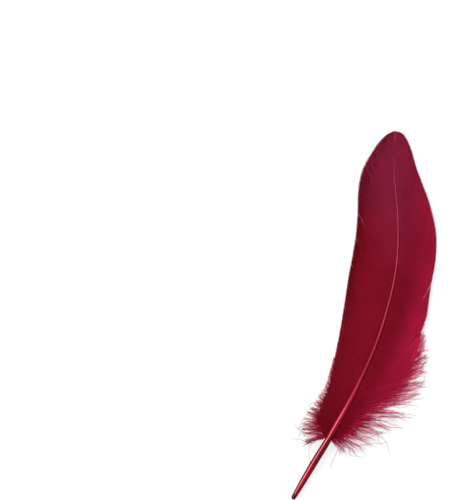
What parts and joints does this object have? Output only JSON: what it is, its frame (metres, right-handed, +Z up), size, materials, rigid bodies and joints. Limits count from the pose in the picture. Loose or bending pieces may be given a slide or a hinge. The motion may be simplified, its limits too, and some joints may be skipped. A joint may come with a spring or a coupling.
{
  "type": "goose feather",
  "caption": "Dyed goose feather: bare quill, tapering shaft, two webs of barbs with a few splits, and a tuft of soft down at the foot of the vane, lying with its upper side showing.",
  "frame": {"origin": "on the table, under the middle of the flat on which the quill rests", "axes": "+Y along the straight line from the quill end to the tip, +Z up, away from the table, +X across to the feather's right side as its upper side is seen with the tip up"},
  "size_m": [0.0569, 0.1812, 0.0097],
  "materials": {
    "vane": "satin web of dyed barbs, dark crimson",
    "shaft": "polished horn, dyed red",
    "down": "loose soft barbs, raspberry pink where thin"
  },
  "bodies": {
    "root": {"feather": "vane"}
  },
  "joints": []
}
